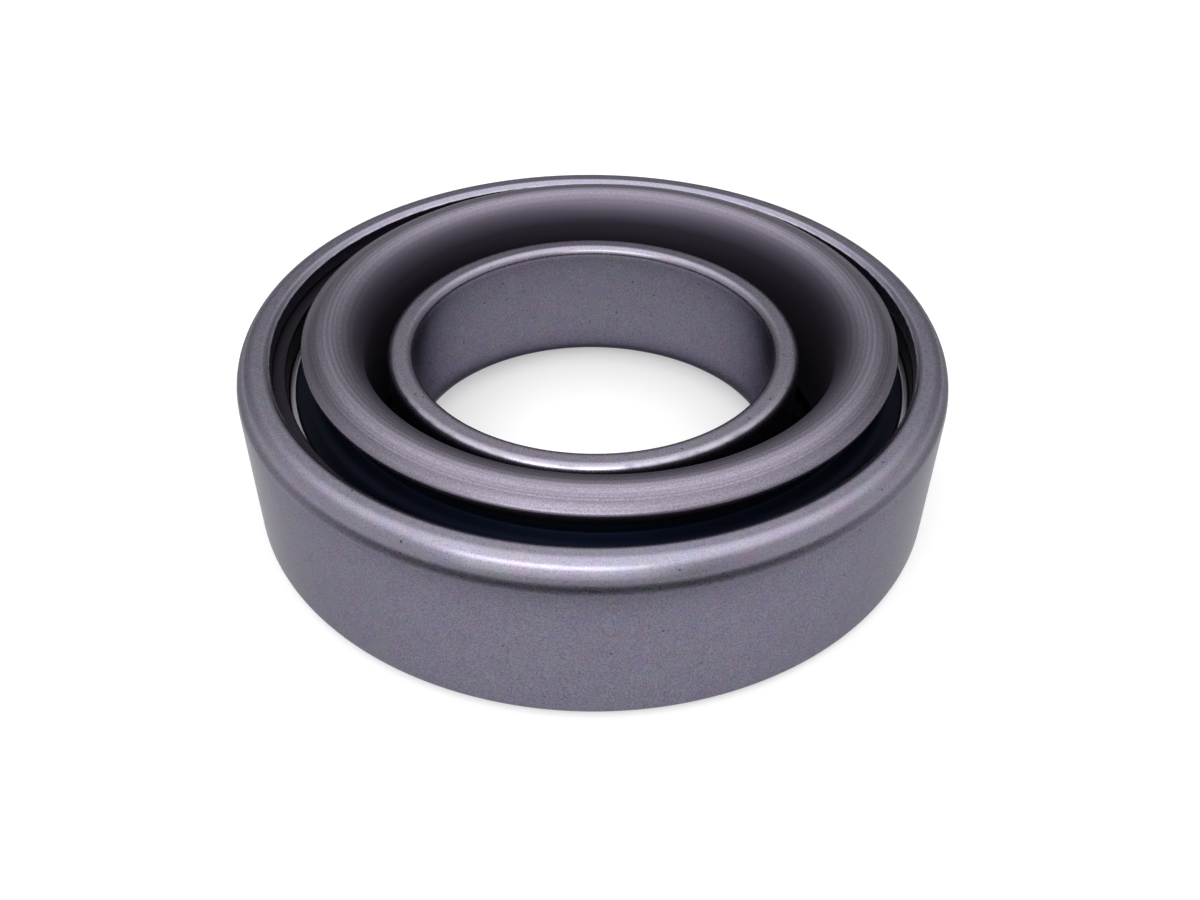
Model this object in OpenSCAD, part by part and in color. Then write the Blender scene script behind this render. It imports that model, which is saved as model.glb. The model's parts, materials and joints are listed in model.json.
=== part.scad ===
// Self-centring clutch release bearing.
// The origin is the middle of the rear face, and +Z points forward, to the clutch.

/* [Outer cover] */
// Outside diameter of the drawn cover
cover_d = 68; // [67:0.5:72]
// Height of the rounded rim above the rear face
cover_h = 17; // [16.5:0.1:19]
// Thickness of the cover's wall
cover_t = 1.4; // [1.3:0.1:1.6]
// Thickness of the turned-in rim between its crest and its flat underside
rim_t = 1.8; // [1.6:0.1:2]
// Radial width of the slanted shoulder between wall and crest
shoulder_w = 1.14; // [1.08:0.03:1.26]
// Radius from the wall into the shoulder
shoulder_round = 3; // [2.4:0.3:3.3]
// Radius from the shoulder over the rim's crest
rim_round = 1.4; // [1:0.1:1.6]
// Radial width of the rim, from the outside to the lip's edge
rim_w = 3.3; // [3.2:0.1:3.5]
// Height by which the lip's edge lies below the rim's crest
lip_drop = 0.69; // [0.6:0.03:0.72]
// Radius from the rim's crest into the lip's slope
lip_roll = 0.9; // [0.6:0.15:0.9]
// Rounding of the cover's inside corner under the rim
corner_round = 0.4; // [0.2:0.1:0.5]
// Thickness of the thinned skirt that is folded over the sleeve's flange
skirt_t = 0.9; // [0.7:0.05:1.1]
// Outside radius of the skirt's fold
fold_round = 1.2; // [0.6:0.3:1.8]

/* [Inner sleeve] */
// Diameter of the bore that takes the carrier
bore_d = 35; // [34:0.1:36]
// Height of the sleeve's front end above the rear face
sleeve_h = 15.5; // [14:0.1:17]
// Thickness of the sleeve's sheet, in the tube and in the flange
sleeve_t = 2.5; // [2.1:0.1:2.9]
// Radius of the bend from bore to rear face
bend_round = 5.5; // [4:0.1:6.5]
// Rounding of the sleeve's front end, inside and outside
sleeve_round = 0.8; // [0.3:0.1:1]
// Height of the bevel on the flange's rear edge, under the folded skirt
flange_bevel = 1.24; // [1:0.04:1.6]

/* [Contact ring] */
// Gap between sleeve and contact ring when both are centred
ring_gap = 2.8; // [2.4:0.1:3]
// Height by which the nose's crest stands above the cover's rim
nose_proud = 1.8; // [1.4:0.1:3]
// Radius of the rounded nose
nose_round = 3; // [2.7:0.15:3.3]
// Length of the straight flank outside the rounded nose
nose_flank = 1.1; // [0.9:0.05:1.3]
// Thickness of the nose at its outer edge
nose_t = 1.2; // [1:0.05:1.5]
// Rounding of the nose's outer edge
nose_edge = 0.4; // [0.2:0.05:0.5]
// Wall of the ring between nose and ball groove
neck_wall = 2.7; // [2.4:0.1:2.8]
// Wall of the ring behind its ball groove
groove_wall = 1.3; // [1.1:0.05:1.4]

/* [Balls and cage] */
// Number of balls
ball_count = 20; // [16:1:20]
// Diameter of a ball
ball_d = 5.556; // [5.3:0.002:5.6]
// Height of the balls' centres above the race's rear face
ball_rise = 3.75; // [3.7:0.05:4]
// Angle between the line of thrust through a ball and the plane of the balls
contact_angle = 45; // [35:1:55]
// Radius of the ball grooves as a share of the ball's diameter
groove_share = 0.525; // [0.52:0.005:0.54]
// Radial thickness of the cage
cage_t = 1.8; // [1.4:0.1:2]
// Thickness of the cage's base in front of a pocket
cage_base = 0.9; // [0.7:0.1:1.1]
// How far the cage's prongs reach past the balls' centres
cage_grip = 1.7; // [1.2:0.1:1.9]
// Width of the slot between two prongs
prong_slot = 1.4; // [1:0.1:1.6]

/* [Outer race] */
// Sideways gap between race and cover when both are centred
float_gap = 1; // [0.9:0.05:1.1]
// Sideways offset at which the bearing came to rest in the cover
float_rest = 0.6; // [0:0.05:0.6]
// Depth of the seats for the seals' cases
seat_step = 0.45; // [0.4:0.05:0.5]
// Rounding of the race's rear edge
race_round = 0.4; // [0.2:0.1:0.5]

/* [Seals and spring] */
// Thickness of the seals' steel cases
case_t = 0.65; // [0.5:0.05:0.7]
// Height of the front case's upright rim, floor included
case_rim = 1.1; // [0.9:0.05:1.2]
// Thickness of the rubber on the front case's floor
rubber_t = 0.5; // [0.4:0.05:0.7]
// Height of the front seal's lip above its rubber floor
seal_lip = 1.25; // [0.9:0.05:1.3]
// Thickness of the front seal's lip at its running edge
lip_t = 0.9; // [0.7:0.1:1.1]
// Thickness of the wave spring's sheet
spring_t = 0.5; // [0.4:0.05:0.6]
// Height of the wave spring over its waves
spring_h = 1.35; // [1.2:0.05:1.5]
// Radial width of the wave spring
spring_w = 3.6; // [3:0.1:4]
// Number of waves round the spring
spring_waves = 5; // [3:1:6]

/* [Clearances] */
// Gap between pressed or folded pieces and their seats
seat_gap = 0.03; // [0.03:0.03:0.06]
// Gap between a ball and its grooves
ball_gap = 0.05; // [0.03:0.01:0.06]
// Gap between a ball and its pocket in the cage
pocket_gap = 0.15; // [0.1:0.01:0.2]
// Height of the small lip that keeps the balls in each groove
snap_lip = 0.12; // [0.08:0.01:0.2]
// Gap between a seal's rubber and the contact ring
seal_gap = 0.2; // [0.15:0.01:0.3]
// Gap between faces that slide on each other
slide_gap = 0.05; // [0.03:0.01:0.1]
// Gap along the axis between turning and standing pieces
running_gap = 0.4; // [0.3:0.05:0.5]

/* [Hidden] */
$fn = 96;
BALLS = [for (i = [1 : ball_count]) str("ball_", i < 10 ? "0" : "", i)];

steel = [0.46, 0.44, 0.50];
bright_steel = [0.66, 0.65, 0.70];
dark_rubber = [0.05, 0.06, 0.10];
cage_nylon = [0.80, 0.76, 0.64];

// Sloping faces follow the long or the short side of a 3-4-5 triangle
steep = [0.6, 0.8];
gentle = [0.8, 0.6];
bevel_run = steep[0] / steep[1];
// Breaks sharp sheet edges
fine_edge = 0.15;

// Cover and sleeve
cover_r = cover_d / 2;
wall_r = cover_r - cover_t;
lip_r = cover_r - rim_w;
lip_under = cover_h - rim_t;
lip_edge = cover_h - lip_drop;
lip_slope_r = lip_r + lip_drop / bevel_run;
shoulder_z = cover_h - shoulder_w / bevel_run;
skirt_r = cover_r - skirt_t;
flange_r = skirt_r - seat_gap;
bore_r = bore_d / 2;
tube_r = bore_r + sleeve_t;

// Folded skirt, which lies along the flange's bevel and ends level with the rear face
fold_start = flange_bevel - seat_gap / 3;
fold_end = skirt_t * steep[0];
fold_inner_r = skirt_r - (fold_start - fold_end) * bevel_run;
fold_outer_r = fold_inner_r + skirt_t * steep[1];

// Contact ring
ring_r = tube_r + ring_gap;
neck_r = ring_r + neck_wall;
nose_h = cover_h + nose_proud;
nose_centre = [ring_r + nose_round, nose_h - nose_round];
nose_tip = nose_centre + nose_round * steep + nose_flank * [gentle[0], -gentle[1]];
nose_heel = nose_tip - nose_t * steep;
neck_fillet = 0.8;

// Stack along the axis, from the sleeve's flange to the front seal
spring_z = sleeve_t + slide_gap;
race_foot = spring_z + spring_h + slide_gap;
race_top = lip_under - slide_gap;
ball_z = race_foot + ball_rise;
ball_r = ball_d / 2;
pocket_r = ball_r + pocket_gap;
cage_top = ball_z + pocket_r + cage_base;
case_floor = cage_top + running_gap;
pad_floor = case_floor + case_t;
pad_top = pad_floor + rubber_t;
rear_case_z = race_foot + slide_gap;
rear_seat_top = rear_case_z + case_t;
ring_foot = race_foot + running_gap;

// Ball grooves, which come closest to the balls on the line of thrust
pitch_r = ring_r + groove_wall + ball_r;
groove_r = ball_d * groove_share;
groove_shift = (groove_r - ball_r - ball_gap) * [cos(contact_angle), -sin(contact_angle)];
ring_groove = [pitch_r, ball_z] + groove_shift;
race_groove = [pitch_r, ball_z] - groove_shift;
ring_land_r = ring_groove[0] - groove_r + snap_lip;
race_land_r = race_groove[0] + groove_r - snap_lip;
shoulder_r = pitch_r + ball_r / 2;

// Race, seals and spring
race_r = wall_r - float_gap;
case_r = race_land_r + seat_step;
case_out_r = case_r - seat_gap;
case_in_r = pitch_r + cage_t / 4;
pad_r = case_out_r - case_t;
race_front_round = min(corner_round, race_r - case_r - 2 * fine_edge);
seal_r = neck_r + seal_gap;
rear_case_r = shoulder_r + seat_step;
rear_case_in_r = pitch_r - cage_t / 2;
rear_seal_r = ring_land_r + seal_gap;
spring_r = race_r - race_round;

function unit(v) = v / norm(v);
function flat(corner) = [corner[0], corner[1]];
function turn(a, b) = a[0] * b[1] - a[1] * b[0];

// Closed outline through corners [r, z, rounding], counter-clockwise, with true arcs at the corners.
module rounded_outline(corners) {
    last = len(corners) - 1;
    function side(i, j) = unit(flat(corners[j]) - flat(corners[i]));
    before = [for (i = [0 : last]) side(i, i == 0 ? last : i - 1)];
    after = [for (i = [0 : last]) side(i, i == last ? 0 : i + 1)];
    half = [for (i = [0 : last]) acos(before[i] * after[i]) / 2];
    reach = [for (i = [0 : last]) corners[i][2] / tan(half[i])];
    chords = [for (i = [0 : last]) each corners[i][2] == 0
        ? [flat(corners[i])]
        : [flat(corners[i]) + reach[i] * before[i], flat(corners[i]) + reach[i] * after[i]]];
    convex = [for (i = [0 : last]) turn(before[i], after[i]) < 0];

    // The cap of a corner's circle between its two touching points, cut a little deeper than its chord.
    module arc_cap(i) {
        radius = corners[i][2];
        corner = flat(corners[i]);
        centre = corner + radius / sin(half[i]) * unit(before[i] + after[i]);
        touch = [corner + reach[i] * before[i], corner + reach[i] * after[i]];
        depth = 0.1;
        intersection() {
            translate(centre)
                circle(r = radius);
            polygon([
                touch[0] + depth * (centre - touch[0]),
                2 * touch[0] - centre,
                2 * corner - centre,
                2 * touch[1] - centre,
                touch[1] + depth * (centre - touch[1])
            ]);
        }
    }

    difference() {
        union() {
            polygon(chords);
            for (i = [0 : last])
                if (corners[i][2] > 0 && convex[i])
                    arc_cap(i);
        }
        for (i = [0 : last])
            if (corners[i][2] > 0 && !convex[i])
                arc_cap(i);
    }
}

// Places what floats with the bearing at its offset in the cover.
module floating() {
    translate([float_rest, 0, 0])
        children();
}

// Places something at each ball's place round the pitch circle, or half-way to the next one.
module around_balls(half_way = 0) {
    for (i = [1 : ball_count])
        rotate(360 * (i + half_way / 2) / ball_count)
            translate([pitch_r, 0, ball_z])
                children();
}

// Drawn can with a turned-in front lip; its thinned rear skirt is folded over the sleeve's flange.
module outer_cover() {
    color(steel)
        rotate_extrude()
            rounded_outline([
                [fold_outer_r, 0, fine_edge],
                [cover_r, (cover_r - fold_outer_r) / bevel_run, fold_round],
                [cover_r, shoulder_z, shoulder_round],
                [cover_r - shoulder_w, cover_h, rim_round],
                [lip_slope_r, cover_h, lip_roll],
                [lip_r, lip_edge, fine_edge],
                [lip_r, lip_under, fine_edge],
                [wall_r, lip_under, corner_round],
                [wall_r, sleeve_t, 0],
                [skirt_r, sleeve_t, 0],
                [skirt_r, fold_start, fold_round / 4],
                [fold_inner_r, fold_end, fine_edge]
            ]);
}

// Drawn sleeve: bore tube, bend and rear flange in one piece.
module inner_sleeve() {
    color(steel)
        rotate_extrude()
            rounded_outline([
                [bore_r, 0, bend_round],
                [flange_r - flange_bevel * bevel_run, 0, fine_edge],
                [flange_r, flange_bevel, fine_edge],
                [flange_r, sleeve_t, fine_edge],
                [tube_r, sleeve_t, bend_round - sleeve_t],
                [tube_r, sleeve_h, sleeve_round],
                [bore_r, sleeve_h, sleeve_round]
            ]);
}

// Ring washer bent into waves, between the sleeve's flange and the race.
module wave_spring() {
    steps = 16 * spring_waves;
    inner_r = spring_r - spring_w;
    function middle(i) = spring_z + spring_h / 2
        + (spring_h - spring_t) / 2 * sin(360 * spring_waves * i / steps);
    function corner(i, r, side) =
        [r * cos(360 * i / steps), r * sin(360 * i / steps), middle(i) + side * spring_t / 2];
    points = [for (i = [0 : steps - 1]) each [
        corner(i, inner_r, -1),
        corner(i, spring_r, -1),
        corner(i, spring_r, 1),
        corner(i, inner_r, 1)
    ]];
    faces = [for (i = [0 : steps - 1], k = [0 : 3])
        let (here = 4 * i, next = 4 * ((i + 1) % steps), up = (k + 1) % 4)
            [here + k, here + up, next + up, next + k]];
    color(bright_steel)
        floating()
            polyhedron(points, faces);
}

// Turned outer ring with the outer ball groove and the seats of both seals.
module outer_race() {
    color(steel)
        floating()
            rotate_extrude()
                difference() {
                    rounded_outline([
                        [rear_case_r, race_foot, 0],
                        [race_r, race_foot, race_round],
                        [race_r, race_top, race_front_round],
                        [case_r, race_top, fine_edge],
                        [case_r, case_floor, 0],
                        [race_land_r, case_floor, 0],
                        [race_land_r, ball_z, 0],
                        [shoulder_r, ball_z, 0],
                        [shoulder_r, rear_seat_top, 0],
                        [rear_case_r, rear_seat_top, 0]
                    ]);
                    translate(race_groove)
                        circle(r = groove_r);
                }
}

// Hardened ring: rounded nose in front, neck for the seal, ball groove and rear land.
module contact_ring() {
    color(steel)
        floating()
            rotate_extrude()
                difference() {
                    rounded_outline([
                        [ring_r, ring_foot, fine_edge],
                        [ring_land_r, ring_foot, fine_edge],
                        [ring_land_r, ball_z, 0],
                        [neck_r, ball_z, 0],
                        [neck_r, nose_heel[1], neck_fillet],
                        [nose_heel[0], nose_heel[1], fine_edge],
                        [nose_tip[0], nose_tip[1], nose_edge],
                        [ring_r, nose_h + nose_round, nose_round]
                    ]);
                    translate(ring_groove)
                        circle(r = groove_r);
                }
}

// Moulded crown cage: a base ring in front, and pockets whose prongs reach past the balls' centres.
module cage() {
    color(cage_nylon)
        floating()
            difference() {
                rotate_extrude()
                    translate([pitch_r - cage_t / 2, ball_z - cage_grip])
                        square([cage_t, cage_top - ball_z + cage_grip]);
                around_balls()
                    sphere(r = pocket_r);
                around_balls(half_way = 1)
                    translate([-cage_t, -prong_slot / 2, -2 * cage_grip])
                        cube([2 * cage_t, prong_slot, 2 * cage_grip]);
            }
}

// One steel ball, at its place on the pitch circle.
module ball(i) {
    color(bright_steel)
        floating()
            rotate(360 * i / ball_count)
                translate([pitch_r, 0, ball_z])
                    sphere(r = ball_r);
}

// Pressed case of the front seal, with an upright rim that seats in the race.
module front_seal_case() {
    color(bright_steel)
        floating()
            rotate_extrude()
                rounded_outline([
                    [case_in_r, case_floor, 0],
                    [case_out_r, case_floor, 2 * fine_edge],
                    [case_out_r, case_floor + case_rim, fine_edge],
                    [pad_r, case_floor + case_rim, fine_edge],
                    [pad_r, pad_floor, 0],
                    [case_in_r, pad_floor, 0]
                ]);
}

// Rubber of the front seal: a pad in the case, and a lip that rises to the ring's neck.
module front_seal() {
    lip_top = pad_top + seal_lip;
    lip_out_r = seal_r + lip_t;
    edge_z = lip_top - lip_t / 2;
    under_z = case_floor + fine_edge;
    color(dark_rubber)
        floating()
            rotate_extrude()
                rounded_outline([
                    [case_in_r, pad_floor, 0],
                    [pad_r, pad_floor, 0],
                    [pad_r, pad_top, fine_edge],
                    [lip_out_r + seal_lip * bevel_run, pad_top, 2 * fine_edge],
                    [lip_out_r, lip_top, 2 * fine_edge],
                    [seal_r, lip_top, fine_edge],
                    [seal_r, edge_z, 0],
                    [seal_r + (edge_z - under_z) * bevel_run, under_z, 0],
                    [case_in_r, under_z, 0]
                ]);
}

// Flat pressed case of the rear seal, in its seat in the race.
module rear_seal_case() {
    color(bright_steel)
        floating()
            rotate_extrude()
                translate([rear_case_in_r, rear_case_z])
                    square([rear_case_r - seat_gap - rear_case_in_r, case_t]);
}

// Rubber of the rear seal: a lip on the inner edge of its case.
module rear_seal() {
    color(dark_rubber)
        floating()
            rotate_extrude()
                rounded_outline([
                    [rear_seal_r, rear_case_z, fine_edge],
                    [rear_case_in_r, rear_case_z, 0],
                    [rear_case_in_r, rear_seat_top, 0],
                    [rear_seal_r, rear_seat_top, fine_edge]
                ]);
}

outer_cover();
inner_sleeve();
wave_spring();
outer_race();
contact_ring();
cage();
front_seal_case();
front_seal();
rear_seal_case();
rear_seal();
for (i = [1 : ball_count])
    ball(i);
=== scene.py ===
import json
import math

import bmesh
import bpy
from mathutils import Matrix, Vector, noise


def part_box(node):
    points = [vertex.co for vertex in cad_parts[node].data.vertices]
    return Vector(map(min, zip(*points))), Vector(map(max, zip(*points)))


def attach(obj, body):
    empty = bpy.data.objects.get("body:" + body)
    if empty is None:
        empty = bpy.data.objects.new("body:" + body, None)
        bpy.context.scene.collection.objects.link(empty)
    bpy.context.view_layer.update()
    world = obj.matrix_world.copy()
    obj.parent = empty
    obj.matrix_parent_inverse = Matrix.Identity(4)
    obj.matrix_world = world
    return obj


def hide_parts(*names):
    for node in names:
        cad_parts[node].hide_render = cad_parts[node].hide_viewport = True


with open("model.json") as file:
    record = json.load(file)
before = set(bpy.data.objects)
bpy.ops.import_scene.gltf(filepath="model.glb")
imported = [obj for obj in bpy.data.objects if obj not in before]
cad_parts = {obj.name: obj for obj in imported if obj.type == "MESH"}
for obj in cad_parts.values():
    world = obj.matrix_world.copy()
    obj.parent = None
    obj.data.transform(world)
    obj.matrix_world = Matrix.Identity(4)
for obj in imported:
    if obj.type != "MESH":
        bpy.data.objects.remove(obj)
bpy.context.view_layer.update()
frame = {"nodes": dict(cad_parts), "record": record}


# Inner sleeve: a flanged tube drawn from 2.5 mm steel sheet, whose bore is pressed on a carrier.
# It is zinc-phosphated and tumbled, which leaves an even, matt violet grey with a sandy grain.
# The tube's front end is trimmed and its edges are rubbed bright, with a painted highlight along the outer
# edge of its end.
MM = 0.001
ROUND_STEPS = 360
SECTORS = 12
ARC_STEP = math.radians(7)
LEAST_ARC_STEPS = 3
STRAIGHT_CUTS = 4
SHARP_ANGLE = math.radians(30)
WELD = 0.0001 * MM

# Most values of a noise texture lie between these two
NOISE_LOW = 0.3
NOISE_HIGH = 0.7

# Tumbling grit leaves dents of about 0.05 mm, drawn here at 0.14 mm so that they show
GRAIN = 0.14 * MM
DENT_DEPTH = 0.004 * MM


def turned_piece(name, section, centre_x=0.0, steps=ROUND_STEPS):
    """Turns a closed section, given as corners (radius, height, rounding), about an upright axis."""
    bm = bmesh.new()
    corners = [Vector((centre_x + radius, 0, height)) for radius, height, rounding in section]
    ends = []
    for i, corner in enumerate(corners):
        rounding = section[i][2]
        to_before = (corners[i - 1] - corner).normalized()
        to_after = (corners[(i + 1) % len(corners)] - corner).normalized()
        half_angle = to_before.angle(to_after) / 2
        reach = rounding / math.tan(half_angle)
        first = last = bm.verts.new(corner + reach * to_before)
        if rounding > 0:
            centre = corner + rounding / math.sin(half_angle) * (to_before + to_after).normalized()
            start_arm = first.co - centre
            end_arm = corner + reach * to_after - centre
            sweep = start_arm.angle(end_arm)
            arc = bmesh.ops.spin(
                bm, geom=[first], cent=centre, axis=start_arm.cross(end_arm).normalized(),
                dvec=(0, 0, 0), angle=sweep, steps=max(LEAST_ARC_STEPS, round(sweep / ARC_STEP)),
                use_merge=False, use_duplicate=False)
            last = arc["geom_last"][0]
        ends.append((first, last))
    straights = [bm.edges.new((ends[i - 1][1], first)) for i, (first, last) in enumerate(ends)]
    bmesh.ops.subdivide_edges(bm, edges=straights, cuts=STRAIGHT_CUTS)

    # The section is spun through one sector, which is then copied round
    sector = 2 * math.pi / SECTORS
    bmesh.ops.spin(
        bm, geom=bm.verts[:] + bm.edges[:], cent=(centre_x, 0, 0), axis=(0, 0, 1), dvec=(0, 0, 0),
        angle=sector, steps=steps // SECTORS, use_merge=False, use_duplicate=False)
    bmesh.ops.spin(
        bm, geom=bm.verts[:] + bm.edges[:] + bm.faces[:], cent=(centre_x, 0, 0), axis=(0, 0, 1),
        dvec=(0, 0, 0), angle=2 * math.pi - sector, steps=SECTORS - 1, use_merge=False,
        use_duplicate=True)
    bmesh.ops.remove_doubles(bm, verts=bm.verts, dist=WELD)
    bmesh.ops.recalc_face_normals(bm, faces=bm.faces)
    mesh = bpy.data.meshes.new(name)
    bm.to_mesh(mesh)
    bm.free()
    mesh.shade_smooth()
    mesh.set_sharp_from_angle(angle=SHARP_ANGLE)
    piece = bpy.data.objects.new(name, mesh)
    bpy.context.scene.collection.objects.link(piece)
    return piece


def linear(colour):
    """Turns an sRGB hex colour into the linear one that a shader takes."""
    shares = [int(colour[i:i + 2], 16) / 255 for i in (1, 3, 5)]
    return [s / 12.92 if s <= 0.04045 else ((s + 0.055) / 1.055) ** 2.4 for s in shares] + [1]


def add_node(tree, kind, inputs=None, **settings):
    """Adds a shader node with its settings, and sets or links its inputs by name or number."""
    node = tree.nodes.new("ShaderNode" + kind)
    for name, value in settings.items():
        setattr(node, name, value)
    for name, value in (inputs or {}).items():
        if isinstance(value, bpy.types.NodeSocket):
            tree.links.new(value, node.inputs[name])
        else:
            node.inputs[name].default_value = value
    return node


def phosphated_steel(name, wall, rim, rim_z, worn_and_highlight, edge_r, edge_z, edge_w, glance, roughness):
    """Matt phosphated steel, sandy and pitted, burnished above rim_z and rubbed bright on one edge; the
    lighter top is partly painted light and the bright edge partly a painted highlight.
    """
    material = bpy.data.materials.new(name)
    material.use_nodes = True
    tree = material.node_tree
    place = add_node(tree, "TexCoord").outputs["Object"]
    split = add_node(tree, "SeparateXYZ", {"Vector": place})

    # Tumbling wears the phosphate thin on the rounded front, which is lighter; that lighter colour is also
    # painted light, for the brighter light the top catches
    fade = 0.5 * MM
    worn_top_painted_light = add_node(tree, "MapRange", {
        "Value": split.outputs["Z"], "From Min": rim_z - fade, "From Max": rim_z + fade},
        interpolation_type="SMOOTHSTEP")
    body = add_node(tree, "MixRGB", {
        "Fac": worn_top_painted_light.outputs[0], "Color1": linear(wall), "Color2": linear(rim)})

    # The sandy grain is weaker where the coat is thin
    grain = add_node(tree, "TexNoise", {"Vector": place, "Scale": 1 / GRAIN, "Detail": 1.0})
    swing = add_node(tree, "MapRange", {
        "Value": grain.outputs["Fac"], "From Min": NOISE_LOW, "From Max": NOISE_HIGH,
        "To Min": -1.0, "To Max": 1.0})
    depth = add_node(tree, "MapRange", {"Value": worn_top_painted_light.outputs[0], "To Min": 0.28, "To Max": 0.15})
    sand = add_node(tree, "Math", {0: swing.outputs[0], 1: depth.outputs[0], 2: 1.0},
                    operation="MULTIPLY_ADD")
    sanded = add_node(tree, "VectorMath", {0: body.outputs[0], 1: sand.outputs[0]}, operation="MULTIPLY")

    # The coat's crystals turn a little bluer or redder from patch to patch
    patch_w = 1.6 * MM
    hue_swing = (0.3, 0.3, 0.3)
    hue_least = (0.85, 0.85, 0.85)
    patches = add_node(tree, "TexNoise", {"Vector": place, "Scale": 1 / patch_w, "Detail": 4.0})
    hue = add_node(tree, "VectorMath", {0: patches.outputs["Color"], 1: hue_swing, 2: hue_least},
                   operation="MULTIPLY_ADD")
    mottled = add_node(tree, "VectorMath", {0: sanded.outputs[0], 1: hue.outputs[0]}, operation="MULTIPLY")

    # Pits of up to about 0.16 mm radius lie several millimetres apart
    pit_cell = 2 * MM
    spots = add_node(tree, "TexVoronoi", {"Vector": place, "Scale": 1 / pit_cell})
    pit = add_node(tree, "MapRange", {
        "Value": spots.outputs["Distance"], "From Min": 0.04, "From Max": 0.08,
        "To Min": 0.7, "To Max": 0.0})
    pitted = add_node(tree, "MixRGB", {
        "Fac": pit.outputs[0], "Color1": mottled.outputs[0], "Color2": linear("#2c2a33")})

    # A light line follows the edge round and breaks up along it: partly rubbed wear, partly painted
    # highlight
    break_l = 1.2 * MM
    flat = add_node(tree, "CombineXYZ", {"X": split.outputs["X"], "Y": split.outputs["Y"]})
    radius = add_node(tree, "VectorMath", {0: flat.outputs[0]}, operation="LENGTH")
    section = add_node(tree, "CombineXYZ", {"X": radius.outputs["Value"], "Z": split.outputs["Z"]})
    gap = add_node(tree, "VectorMath", {0: section.outputs[0], 1: (edge_r, 0, edge_z)},
                   operation="DISTANCE")
    near = add_node(tree, "MapRange", {
        "Value": gap.outputs["Value"], "From Min": 0.3 * edge_w, "From Max": edge_w,
        "To Min": 1.0, "To Max": 0.0})
    breaks = add_node(tree, "TexNoise", {"Vector": place, "Scale": 1 / break_l, "Detail": 3.0})
    kept = add_node(tree, "MapRange", {"Value": breaks.outputs["Fac"], "From Min": 0.35, "From Max": 0.55})
    rub_and_highlight = add_node(tree, "Math", {0: near.outputs[0], 1: kept.outputs[0]}, operation="MULTIPLY")
    final = add_node(tree, "MixRGB", {
        "Fac": rub_and_highlight.outputs[0], "Color1": pitted.outputs[0], "Color2": linear(worn_and_highlight)})

    # The porous coat shines less at a glancing angle than bare metal does
    gloss_swing = 0.06
    gloss = add_node(tree, "MapRange", {
        "Value": grain.outputs["Fac"], "To Min": roughness - gloss_swing, "To Max": roughness + gloss_swing})
    dents = add_node(tree, "Bump", {
        "Height": grain.outputs["Fac"], "Strength": 1.0, "Distance": DENT_DEPTH})
    shader = tree.nodes["Principled BSDF"]
    shader.inputs["Metallic"].default_value = 1.0
    shader.inputs["Specular Tint"].default_value = linear(glance)
    tree.links.new(final.outputs[0], shader.inputs["Base Color"])
    tree.links.new(gloss.outputs[0], shader.inputs["Roughness"])
    tree.links.new(dents.outputs[0], shader.inputs["Normal"])
    return material


mounts = {mount["name"]: mount for mount in frame["record"]["mounts"]}
bore_r = mounts["sleeve_bore"]["dims"]["r_mm"] * MM
sleeve_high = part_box("inner_sleeve")[1]
flange_r = sleeve_high.x
sleeve_h = sleeve_high.z
sheet_t = 2.5 * MM
bend_round = 5.5 * MM
end_round = 0.8 * MM
edge_break = 0.15 * MM
flange_bevel_w = 0.93 * MM
flange_bevel_h = 1.24 * MM

# The light line, partly rubbed wear and partly painted highlight, lies this far inside the outer corner of
# the tube's end
rub_and_highlight_inset = 0.25 * end_round

sleeve = turned_piece("drawn_sleeve", [
    (bore_r, 0, bend_round),
    (flange_r - flange_bevel_w, 0, edge_break),
    (flange_r, flange_bevel_h, edge_break),
    (flange_r, sheet_t, edge_break),
    (bore_r + sheet_t, sheet_t, bend_round - sheet_t),
    (bore_r + sheet_t, sleeve_h, end_round),
    (bore_r, sleeve_h, end_round)])
# The sleeve's dark wall colour and weak glancing reflection are painted shade down its bore; its lighter end
# is partly painted light
sleeve.data.materials.append(phosphated_steel(
    "sleeve_phosphated_steel", wall="#6d6978", rim="#9a94a3", rim_z=sleeve_h - end_round, worn_and_highlight="#b8b4c2",
    edge_r=bore_r + sheet_t - rub_and_highlight_inset, edge_z=sleeve_h - rub_and_highlight_inset, edge_w=0.4 * MM, glance="#8a8a8a",
    roughness=0.29))
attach(sleeve, "housing")
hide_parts("inner_sleeve")


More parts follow.
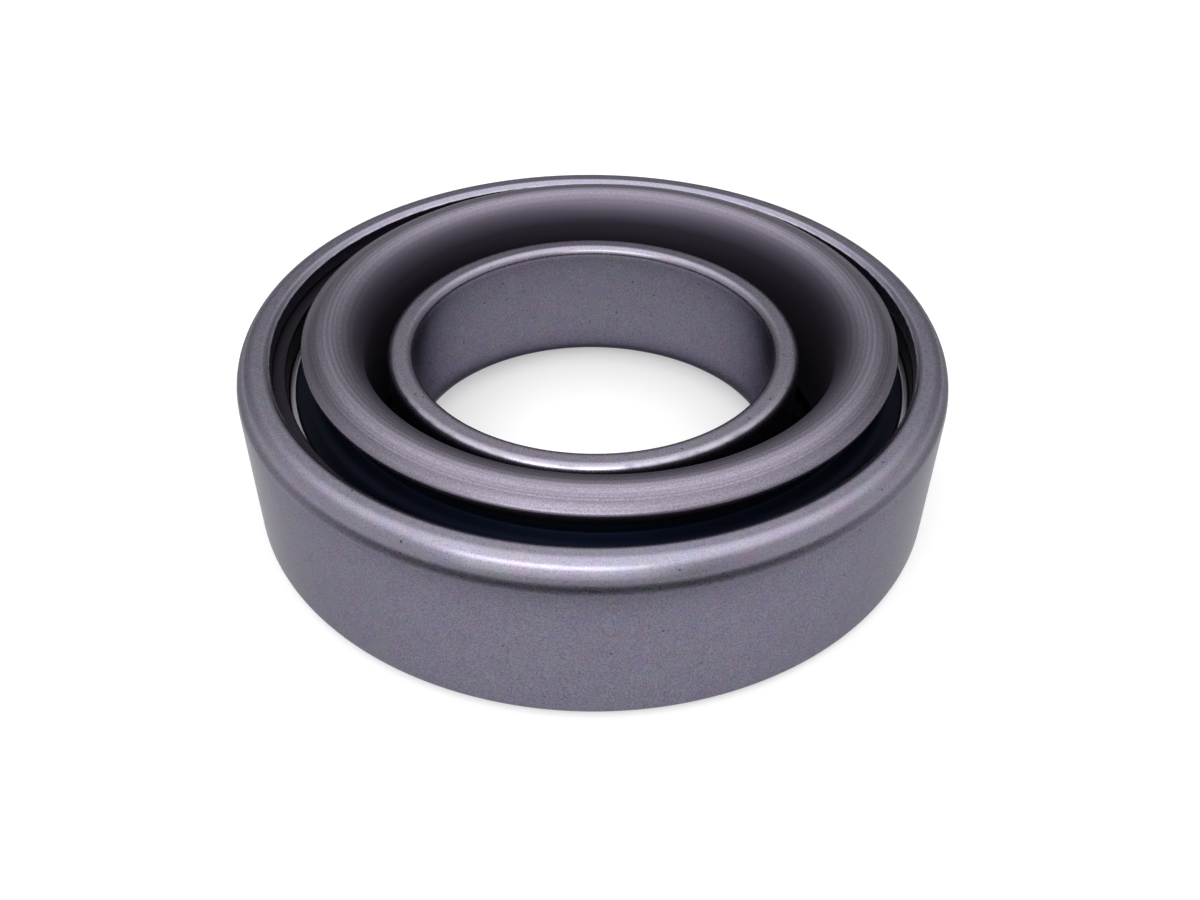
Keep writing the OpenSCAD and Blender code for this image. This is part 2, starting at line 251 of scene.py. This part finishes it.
# Wave spring: a washer of hardened spring strip, bent into five waves, between flange and race.
# It is heat-blued, so it is dark with a slight sheen, and lies out of sight behind the race.
def plain_metal(name, dark, light, roughness, line_pitch, centre_x, flank_shade_r=0.0, slope_r=1.0):
    """Turned or pressed metal with fine lines round it, painted shade and more roughness inside its shade
    radius, and darker beyond slope_r.

    By default it has neither, because no point lies inside a radius of 0 or beyond one of 1 m.
    """
    material = bpy.data.materials.new(name)
    material.use_nodes = True
    tree = material.node_tree
    place = add_node(tree, "TexCoord").outputs["Object"]
    centred = add_node(tree, "Mapping", {"Vector": place, "Location": (-centre_x, 0, 0)})
    split = add_node(tree, "SeparateXYZ", {"Vector": centred.outputs[0]})
    flat = add_node(tree, "CombineXYZ", {"X": split.outputs["X"], "Y": split.outputs["Y"]})
    radius = add_node(tree, "VectorMath", {0: flat.outputs[0]}, operation="LENGTH")
    section = add_node(tree, "CombineXYZ", {"X": radius.outputs["Value"], "Z": split.outputs["Z"]})

    # Lines run round the axis, under a fine grain
    lines = add_node(tree, "TexNoise", {
        "Vector": section.outputs[0], "Scale": 1 / line_pitch, "Detail": 3.0})
    grain = add_node(tree, "TexNoise", {"Vector": place, "Scale": 1 / GRAIN, "Detail": 1.0})
    tone = add_node(tree, "MapRange", {
        "Value": lines.outputs["Fac"], "From Min": NOISE_LOW, "From Max": NOISE_HIGH})
    lined = add_node(tree, "MixRGB", {
        "Fac": tone.outputs[0], "Color1": linear(dark), "Color2": linear(light)})
    sand = add_node(tree, "MapRange", {
        "Value": grain.outputs["Fac"], "From Min": NOISE_LOW, "From Max": NOISE_HIGH,
        "To Min": 0.8, "To Max": 1.2})
    sanded = add_node(tree, "VectorMath", {0: lined.outputs[0], 1: sand.outputs[0]}, operation="MULTIPLY")

    # The outer slope darkens, and the inner flank darkens with painted shade, both gradually
    slope_fade = 0.9 * MM
    flank_shade_fade = 2.4 * MM
    shade = add_node(tree, "MapRange", {
        "Value": radius.outputs["Value"], "From Min": slope_r - slope_fade, "From Max": slope_r,
        "To Min": 1.0, "To Max": 0.78}, interpolation_type="SMOOTHSTEP")
    shaded = add_node(tree, "VectorMath", {0: sanded.outputs[0], 1: shade.outputs[0]}, operation="MULTIPLY")
    inside = add_node(tree, "MapRange", {
        "Value": radius.outputs["Value"], "From Min": flank_shade_r - flank_shade_fade, "From Max": flank_shade_r,
        "To Min": 1.0, "To Max": 0.0}, interpolation_type="SMOOTHSTEP")
    final = add_node(tree, "MixRGB", {
        "Fac": inside.outputs[0], "Color1": shaded.outputs[0], "Color2": linear("#56505d")})

    # The shaded inner flank is also rougher than the bare metal
    gloss_swing = 0.08
    gloss = add_node(tree, "MapRange", {
        "Value": lines.outputs["Fac"], "To Min": roughness - gloss_swing, "To Max": roughness + gloss_swing})
    dull = add_node(tree, "MapRange", {"Value": inside.outputs[0], "To Min": 0.0, "To Max": 0.25})
    rough = add_node(tree, "Math", {0: gloss.outputs[0], 1: dull.outputs[0]}, operation="ADD")
    grooves = add_node(tree, "Bump", {
        "Height": lines.outputs["Fac"], "Strength": 1.0, "Distance": DENT_DEPTH})
    shader = tree.nodes["Principled BSDF"]
    shader.inputs["Metallic"].default_value = 1.0
    shader.inputs["Specular Tint"].default_value = linear("#d3d3d3")
    tree.links.new(final.outputs[0], shader.inputs["Base Color"])
    tree.links.new(rough.outputs[0], shader.inputs["Roughness"])
    tree.links.new(grooves.outputs[0], shader.inputs["Normal"])
    return material


def dress(node, material):
    """Gives a CAD node that keeps its own mesh its material."""
    slots = frame["nodes"][node].data.materials
    slots.clear()
    slots.append(material)


# The bearing floats off centre, and its pieces share the contact ring's axis
ring_low, ring_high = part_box("contact_ring")
axis_x = (ring_low.x + ring_high.x) / 2
dress("wave_spring", plain_metal("blued_spring_strip", "#4a4a58", "#5c5b69", 0.35, 0.4 * MM, axis_x))


# Outer race: a turned and ground ring of bearing steel that floats sideways in the cover.
# Only its front face shows, as a dark band between the lip and the seal's case; that face lies in the lip's
# shade, and its near-black colour is painted shade.
dress("outer_race", plain_metal("ground_bearing_steel_painted_shade", "#2b2930", "#343138", 0.45, 0.2 * MM, axis_x))


# Balls and cage: twenty lapped steel balls, clipped into a crown cage moulded from natural nylon.
# The cage spaces the balls between the two grooves, behind the front seal.
def moulded_nylon(name, dark, light):
    """Natural nylon: a waxy cream with soft clouds and a faint spark-eroded texture."""
    material = bpy.data.materials.new(name)
    material.use_nodes = True
    tree = material.node_tree
    cloud_w = 4 * MM
    spark_w = 0.2 * MM
    spark_depth = 0.004 * MM
    place = add_node(tree, "TexCoord").outputs["Object"]
    clouds = add_node(tree, "TexNoise", {"Vector": place, "Scale": 1 / cloud_w, "Detail": 3.0})
    spark = add_node(tree, "TexNoise", {"Vector": place, "Scale": 1 / spark_w, "Detail": 2.0})
    body = add_node(tree, "MixRGB", {
        "Fac": clouds.outputs["Fac"], "Color1": linear(dark), "Color2": linear(light)})
    skin = add_node(tree, "Bump", {
        "Height": spark.outputs["Fac"], "Strength": 1.0, "Distance": spark_depth})
    shader = tree.nodes["Principled BSDF"]
    shader.inputs["Roughness"].default_value = 0.45
    shader.inputs["IOR"].default_value = 1.53
    tree.links.new(body.outputs[0], shader.inputs["Base Color"])
    tree.links.new(skin.outputs[0], shader.inputs["Normal"])
    return material


dress("cage", moulded_nylon("natural_nylon", "#c4b994", "#d6ccaa"))
lapped_steel = plain_metal("lapped_ball_steel", "#c4c4c8", "#d0d0d4", 0.15, 0.5 * MM, axis_x)
for node in frame["nodes"]:
    if node.startswith("ball_"):
        dress(node, lapped_steel)


# Contact ring: a turned ring of hardened bearing steel, whose rounded nose pushes on the clutch.
# The turning tool leaves fine rings round the nose, and tumbling dulls them to a satin grey.
# Its inner flank, which faces the narrow gap to the sleeve, is painted darker as shade, and is rougher.
nose_h = ring_high.z
ring_foot = ring_low.z
sleeve_gap = 2.8 * MM
neck_t = 2.7 * MM
ring_r = bore_r + sheet_t + sleeve_gap
neck_r = ring_r + neck_t
ball_low, ball_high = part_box("ball_20")
ball_z = (ball_low.z + ball_high.z) / 2
ball_r = (ball_high.z - ball_low.z) / 2
nose_round = 3 * MM
nose_edge = 0.4 * MM
nose_slope_l = 1.1 * MM
nose_t = 1.2 * MM
heel_fillet = 0.8 * MM
steep = Vector((0.6, 0.8))
gentle = Vector((0.8, -0.6))
nose_centre = Vector((ring_r + nose_round, nose_h - nose_round))
nose_tip = nose_centre + nose_round * steep + nose_slope_l * gentle
nose_heel = nose_tip - nose_t * steep

# The ball groove is ground a little wider than the balls and comes closest to them on the line of
# thrust, at 45 degrees
ball_gap = 0.05 * MM
groove_wall = 1.3 * MM
snap_lip = 0.12 * MM
groove_r = 1.05 * ball_r
groove_shift = (groove_r - ball_r - ball_gap) * math.sqrt(0.5)
groove_centre_r = ring_r + groove_wall + ball_r + groove_shift
groove_z = ball_z - groove_shift
land_r = groove_centre_r - groove_r + snap_lip
at_land = math.pi + math.acos((groove_centre_r - land_r) / groove_r)
at_neck = math.pi - math.acos((groove_centre_r - neck_r) / groove_r)
groove_steps = round((at_land - at_neck) / ARC_STEP)
groove = []
for step in range(groove_steps + 1):
    at = at_land + (at_neck - at_land) * step / groove_steps
    groove.append((groove_centre_r + groove_r * math.cos(at), groove_z + groove_r * math.sin(at), 0))

nose_ring = turned_piece("nose_ring", [
    (ring_r, ring_foot, edge_break),
    (land_r, ring_foot, edge_break),
    *groove,
    (neck_r, nose_heel.y, heel_fillet),
    (nose_heel.x, nose_heel.y, edge_break),
    (nose_tip.x, nose_tip.y, nose_edge),
    (ring_r, nose_h + nose_round, nose_round)], axis_x)
nose_ring.data.materials.append(plain_metal(
    "turned_ring_steel", "#837c8a", "#9e97a7", 0.33, 0.18 * MM, axis_x,
    flank_shade_r=ring_r + 2.6 * MM, slope_r=nose_centre.x + 1.5 * MM))
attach(nose_ring, "contact_ring")
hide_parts("contact_ring")


# Rear seal: a flat pressed steel case with a rubber lip moulded on its inner edge.
# It closes the bearing towards the flange and is out of sight.
def moulded_rubber(name, dark, light):
    """Nitrile rubber: blue-black, with soft clouds and a dull, slightly uneven skin, whose faint sheen is
    tinted blue as painted light.
    """
    material = bpy.data.materials.new(name)
    material.use_nodes = True
    tree = material.node_tree
    cloud_w = 2 * MM
    skin_w = 0.25 * MM
    skin_depth = 0.005 * MM
    place = add_node(tree, "TexCoord").outputs["Object"]
    clouds = add_node(tree, "TexNoise", {"Vector": place, "Scale": 1 / cloud_w, "Detail": 3.0})
    skin = add_node(tree, "TexNoise", {"Vector": place, "Scale": 1 / skin_w, "Detail": 2.0})
    body = add_node(tree, "MixRGB", {
        "Fac": clouds.outputs["Fac"], "Color1": linear(dark), "Color2": linear(light)})
    rough = add_node(tree, "MapRange", {"Value": skin.outputs["Fac"], "To Min": 0.34, "To Max": 0.5})
    bump = add_node(tree, "Bump", {
        "Height": skin.outputs["Fac"], "Strength": 1.0, "Distance": skin_depth})
    shader = tree.nodes["Principled BSDF"]
    shader.inputs["IOR"].default_value = 1.52
    shader.inputs["Specular IOR Level"].default_value = 0.11
    # The blue tint of the sheen is painted light; the lamps and sky are white
    shader.inputs["Specular Tint"].default_value = linear("#93adff")
    tree.links.new(body.outputs[0], shader.inputs["Base Color"])
    tree.links.new(rough.outputs[0], shader.inputs["Roughness"])
    tree.links.new(bump.outputs[0], shader.inputs["Normal"])
    return material


bright_strip = plain_metal("bright_pressed_strip", "#a9a6b0", "#b9b6c0", 0.3, 0.3 * MM, axis_x)
nitrile = moulded_rubber("blue_black_nitrile", "#06080d", "#080b15")
dress("rear_seal_case", bright_strip)
dress("rear_seal", nitrile)


# Front seal: a case pressed from bright strip, whose upright rim sits in the race.
# Blue-black rubber is moulded over its floor and rises to a lip at the ring's neck.
case_low, case_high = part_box("front_seal_case")
rubber_low, rubber_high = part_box("front_seal")
case_out_r = case_high.x - axis_x
case_in_r = 27.328 * MM
case_t = 0.65 * MM
rubber_t = 0.5 * MM
pad_r = rubber_high.x - axis_x
pad_floor = case_low.z + case_t
pad_top = pad_floor + rubber_t
lip_gap = 0.2 * MM
lip_t = 0.9 * MM
lip_edge_h = 0.45 * MM
lip_slope = 0.75
lip_round = 0.4 * MM
foot_round = 1.5 * MM
lip_top = rubber_high.z
lip_in_r = neck_r + lip_gap
lip_out_r = lip_in_r + lip_t
lip_edge_z = lip_top - lip_edge_h
lip_foot_r = lip_out_r + (lip_top - pad_top) * lip_slope
under_z = rubber_low.z

front_case = turned_piece("front_case", [
    (case_in_r, case_low.z, 0),
    (case_out_r, case_low.z, 2 * edge_break),
    (case_out_r, case_high.z, edge_break),
    (pad_r, case_high.z, edge_break),
    (pad_r, pad_floor, 0),
    (case_in_r, pad_floor, 0)], axis_x)
front_case.data.materials.append(bright_strip)
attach(front_case, "race")
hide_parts("front_seal_case")

front_rubber = turned_piece("front_rubber", [
    (case_in_r, pad_floor, 0),
    (pad_r, pad_floor, 0),
    (pad_r, pad_top, edge_break),
    (lip_foot_r, pad_top, foot_round),
    (lip_out_r, lip_top, lip_round),
    (lip_in_r, lip_top, edge_break),
    (lip_in_r, lip_edge_z, 0),
    (lip_in_r + (lip_edge_z - under_z) * lip_slope, under_z, 0),
    (case_in_r, under_z, 0)], axis_x)
front_rubber.data.materials.append(nitrile)
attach(front_rubber, "race")
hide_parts("front_seal")


# Outer cover: a can drawn from steel sheet, whose front rim is turned in to a sheared lip.
# Its thinned rear skirt is folded over the sleeve's flange. Phosphated and tumbled like the
# sleeve, with a thin bright burr on the sheared edge, along which runs a light line that is partly painted
# highlight.
cover_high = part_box("outer_cover")[1]
cover_r = cover_high.x
cover_h = cover_high.z
wall_t = 1.4 * MM
rim_w = 3.3 * MM
rim_t = 1.8 * MM
skirt_t = 0.9 * MM
fold_t = 0.72 * MM
fold_start = 1.23 * MM
fold_end = 0.54 * MM
lip_drop = 0.4 * MM
shoulder_w = 1.14 * MM
slope_run = 0.75
fold_round = 1.2 * MM
fold_in_round = 0.3 * MM
shoulder_round = 3 * MM
rim_round = 1.4 * MM
rim_in_round = 0.6 * MM
wall_in_round = 0.4 * MM
wall_in_r = cover_r - wall_t
lip_r = cover_r - rim_w
rim_under = cover_h - rim_t
skirt_r = cover_r - skirt_t
fold_in_r = skirt_r - (fold_start - fold_end) * slope_run
fold_out_r = fold_in_r + fold_t

# Finer steps than the other pieces have let the lip's edge be ragged
cover_steps = 540

cover = turned_piece("drawn_cover", [
    (fold_out_r, 0, edge_break),
    (cover_r, (cover_r - fold_out_r) / slope_run, fold_round),
    (cover_r, cover_h - shoulder_w / slope_run, shoulder_round),
    (cover_r - shoulder_w, cover_h, rim_round),
    (lip_r + lip_drop / slope_run, cover_h, rim_in_round),
    (lip_r, cover_h - lip_drop, edge_break),
    (lip_r, rim_under, edge_break),
    (wall_in_r, rim_under, wall_in_round),
    (wall_in_r, sheet_t, 0),
    (skirt_r, sheet_t, 0),
    (skirt_r, fold_start, fold_in_round),
    (fold_in_r, fold_end, edge_break)], steps=cover_steps)

# Shearing leaves a ragged burr on the lip's edge and a broken furrow just outside it
edge_reach = 0.5 * MM
burr_h = 0.03 * MM
burr_pitch = 0.9 * MM
burr_fall = 4
furrow_depth = 0.05 * MM
furrow_w = 0.2 * MM
furrow_pitch = 3 * burr_pitch
furrow_place = 1.2
furrow_fall = 6
furrow_more = 0.2
bm = bmesh.new()
bm.from_mesh(cover.data)
for vert in bm.verts:
    radius = vert.co.xy.length
    if radius < lip_r + edge_reach and vert.co.z > rim_under + edge_reach:
        ragged = noise.noise(Vector((vert.co.x, vert.co.y, 0)) / burr_pitch)
        broken = max(0.0, noise.noise(Vector((vert.co.x, vert.co.y, furrow_w)) / furrow_pitch) + furrow_more)
        from_edge = (radius - lip_r) / furrow_w
        burr = burr_h * ragged * math.exp(-burr_fall * from_edge ** 2)
        furrow = furrow_depth * broken * math.exp(-furrow_fall * (from_edge - furrow_place) ** 2)
        vert.co.z += burr
        vert.co.z -= furrow
        vert.co.xy *= 1 + burr / radius
bm.to_mesh(cover.data)
bm.free()

# The cover's lighter rim is partly painted light, for the highlight its rounded front catches
cover.data.materials.append(phosphated_steel(
    "cover_phosphated_steel", wall="#726e7e", rim="#9893a4", rim_z=cover_h - 2.2 * MM, worn_and_highlight="#b9b5c4",
    edge_r=lip_r, edge_z=cover_h - lip_drop, edge_w=0.22 * MM, glance="#d2d2d2", roughness=0.29))
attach(cover, "housing")
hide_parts("outer_cover")


# Studio: a plain white floor, a sky that is bright overhead and grey low down, and two soft lamps in front.
# The floor glows a little for the camera and for reflections, so that it reads as white paper.
floor_half = 4.0
paper_glow = 0.42
bm = bmesh.new()
bmesh.ops.create_grid(bm, x_segments=1, y_segments=1, size=floor_half)
floor_mesh = bpy.data.meshes.new("floor")
bm.to_mesh(floor_mesh)
bm.free()
floor = bpy.data.objects.new("floor", floor_mesh)
bpy.context.scene.collection.objects.link(floor)
paper = bpy.data.materials.new("white_paper")
paper.use_nodes = True
paper_tree = paper.node_tree
paper_shader = paper_tree.nodes["Principled BSDF"]
paper_shader.inputs["Base Color"].default_value = linear("#d2d2d2")
paper_shader.inputs["Roughness"].default_value = 0.9
paper_shader.inputs["Specular IOR Level"].default_value = 0.0
rays = add_node(paper_tree, "LightPath").outputs
seen = add_node(paper_tree, "Math", {0: rays["Is Camera Ray"], 1: rays["Is Glossy Ray"]},
                operation="MAXIMUM")
seen_or_through = add_node(paper_tree, "Math", {0: seen.outputs[0], 1: rays["Is Transmission Ray"]},
                           operation="MAXIMUM")
glow = add_node(paper_tree, "Math", {0: seen_or_through.outputs[0], 1: paper_glow}, operation="MULTIPLY")
light = add_node(paper_tree, "Emission", {"Strength": glow.outputs[0]})
both = add_node(paper_tree, "AddShader", {0: paper_shader.outputs[0], 1: light.outputs[0]})
paper_tree.links.new(both.outputs[0], paper_tree.nodes["Material Output"].inputs["Surface"])
floor_mesh.materials.append(paper)

# Low down, the sky is darker behind the bearing and straight in front of it
world = bpy.data.worlds.new("studio")
bpy.context.scene.world = world
world.use_nodes = True
sky = world.node_tree
background = sky.nodes["Background"]
background.inputs["Color"].default_value = linear("#ffffff")
towards = add_node(sky, "TexCoord").outputs["Generated"]
way = add_node(sky, "SeparateXYZ", {"Vector": towards})
horizon = add_node(sky, "MapRange", {
    "Value": way.outputs["Y"], "From Min": 0.1, "From Max": 0.7, "To Min": 0.7, "To Max": 0.28},
    interpolation_type="SMOOTHSTEP")
front = add_node(sky, "MapRange", {
    "Value": way.outputs["Y"], "From Min": -0.95, "From Max": -0.6, "To Min": 0.4, "To Max": 1.0},
    interpolation_type="SMOOTHSTEP")
low = add_node(sky, "Math", {0: horizon.outputs[0], 1: front.outputs[0]}, operation="MULTIPLY")
level = add_node(sky, "MapRange", {
    "Value": way.outputs["Z"], "From Min": 0.5, "From Max": 0.95, "To Min": low.outputs[0], "To Max": 1.75},
    interpolation_type="SMOOTHSTEP")
sky.links.new(level.outputs[0], background.inputs["Strength"])


def soft_lamp(name, rise, left, distance, width, depth, radiance):
    """An area lamp that faces the bearing, at angles over the front horizon and to the left of the front."""
    lamp = bpy.data.lights.new(name, "AREA")
    lamp.shape = "RECTANGLE"
    lamp.size = width
    lamp.size_y = depth
    lamp.energy = radiance * math.pi * width * depth
    away = Vector((-math.sin(left) * math.cos(rise), -math.cos(left) * math.cos(rise), math.sin(rise)))
    stand = bpy.data.objects.new(name, lamp)
    facing = away.to_track_quat("Z", "Y").to_matrix().to_4x4()
    stand.matrix_world = Matrix.Translation(away * distance) @ facing
    bpy.context.scene.collection.objects.link(stand)


soft_lamp("key_lamp", rise=math.radians(47), left=math.radians(14), distance=0.5,
          width=0.4, depth=0.18, radiance=2.7)
soft_lamp("fill_lamp", rise=math.radians(25), left=math.radians(8), distance=0.5,
          width=0.5, depth=0.24, radiance=0.9)

# A card with a round window lies round the bearing for reflections alone, and draws the dark line
# under its rim. It is near black in front and grey at the sides and behind.
window_r = 51 * MM
card_r = 200 * MM
card_rise = 0.2 * MM
card_steps = ROUND_STEPS // 4
bm = bmesh.new()
bmesh.ops.create_circle(bm, cap_ends=False, radius=window_r, segments=card_steps)
bmesh.ops.create_circle(bm, cap_ends=False, radius=card_r, segments=card_steps)
bmesh.ops.bridge_loops(bm, edges=bm.edges[:])
bmesh.ops.translate(bm, verts=bm.verts, vec=(0, 0, card_rise))
card_mesh = bpy.data.meshes.new("black_card")
bm.to_mesh(card_mesh)
bm.free()
card = bpy.data.objects.new("black_card", card_mesh)
bpy.context.scene.collection.objects.link(card)
card_paint = bpy.data.materials.new("black_card")
card_paint.use_nodes = True
card_tree = card_paint.node_tree
card_shader = card_tree.nodes["Principled BSDF"]
card_place = add_node(card_tree, "TexCoord").outputs["Object"]
card_split = add_node(card_tree, "SeparateXYZ", {"Vector": card_place})
to_back = add_node(card_tree, "MapRange", {
    "Value": card_split.outputs["Y"], "From Min": -60 * MM, "From Max": -20 * MM})
card_grey = add_node(card_tree, "MixRGB", {
    "Fac": to_back.outputs[0], "Color1": linear("#272727"), "Color2": linear("#a0a0a0")})
card_tree.links.new(card_grey.outputs[0], card_shader.inputs["Base Color"])
card_shader.inputs["Specular IOR Level"].default_value = 0.0
card_mesh.materials.append(card_paint)
card.visible_camera = False
card.visible_diffuse = False
card.visible_shadow = False


# Camera: the photograph's view, from 124 mm away and about 39 degrees up.
# Its distance, rise, roll and target were fitted to the outlines in the photograph.
image_width = 1200
focal_pixels = 1179.2
camera_rise = math.radians(38.907)
camera_roll = math.radians(0.687)
camera_distance = 124.07 * MM
camera_target = Vector((0.762, 0, 1.371)) * MM
back = Vector((0, -math.cos(camera_rise), math.sin(camera_rise)))
level_right = Vector((1, 0, 0))
level_up = back.cross(level_right)
right = level_right * math.cos(camera_roll) + level_up * math.sin(camera_roll)
up = back.cross(right)
camera = bpy.data.cameras.new("camera")
camera.sensor_width = 36
camera.lens = camera.sensor_width * focal_pixels / image_width
camera.clip_start = 5 * MM
camera_stand = bpy.data.objects.new("camera", camera)
turn = Matrix((right, up, back)).transposed().to_4x4()
camera_stand.matrix_world = Matrix.Translation(camera_target + camera_distance * back) @ turn
bpy.context.scene.collection.objects.link(camera_stand)
bpy.context.scene.camera = camera_stand
bpy.context.scene.view_settings.view_transform = "Standard"
